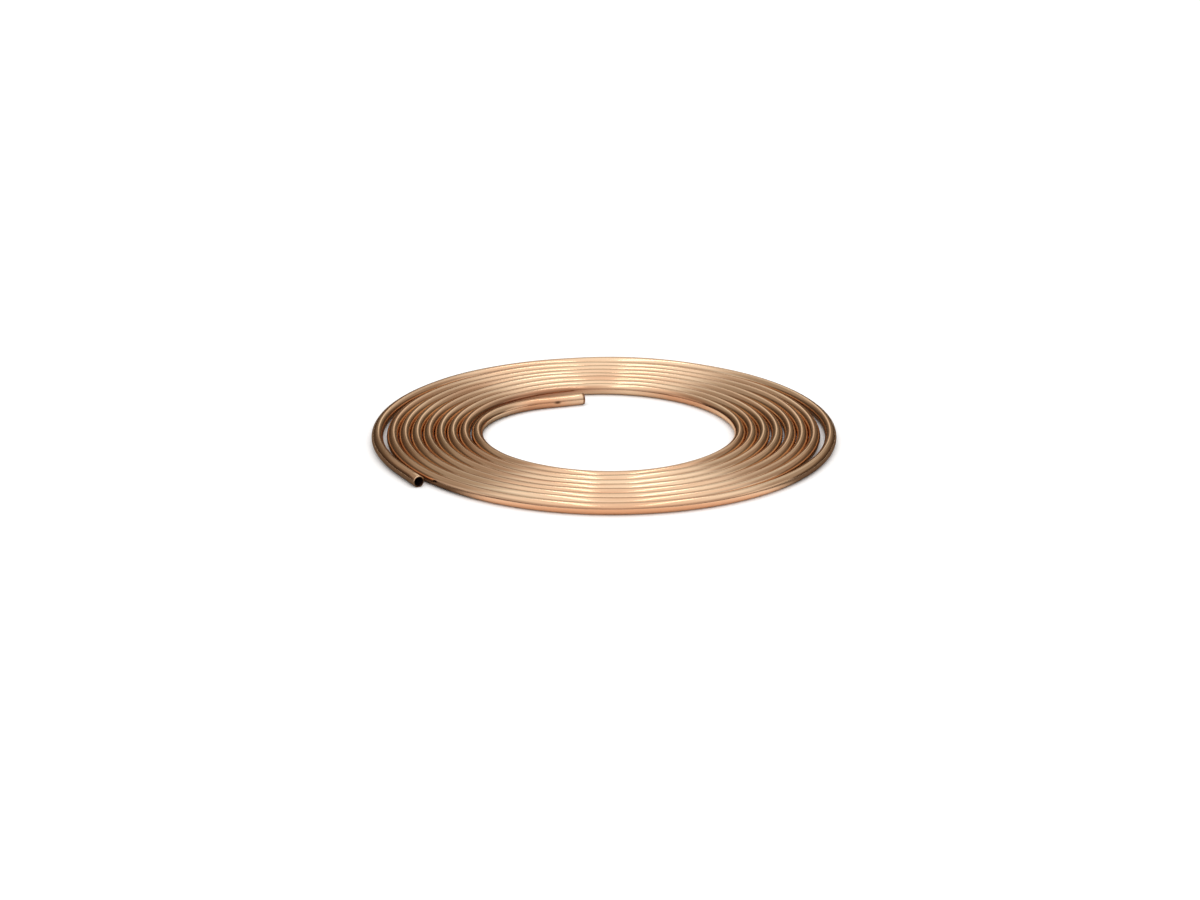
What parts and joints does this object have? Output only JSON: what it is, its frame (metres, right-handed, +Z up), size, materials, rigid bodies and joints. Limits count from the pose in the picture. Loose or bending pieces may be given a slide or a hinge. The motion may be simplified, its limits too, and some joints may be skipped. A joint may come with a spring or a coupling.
{
  "type": "copper tube coil",
  "caption": "Soft copper refrigeration tube wound flat into a round spiral coil, with an open eye and two plain open ends for fittings.",
  "frame": {"origin": "under the middle of the coil's box, on the floor that it lies on", "axes": "+Z up, square to the flat of the coil; +X to the right and +Y to the back, so that the outer end lies at the left front and the inner end lies at the back of the eye"},
  "size_m": [0.3824, 0.3761, 0.0095],
  "materials": {
    "copper": "bright annealed copper, smooth drawn surface"
  },
  "bodies": {
    "root": {"copper_tube": "copper"}
  },
  "joints": []
}
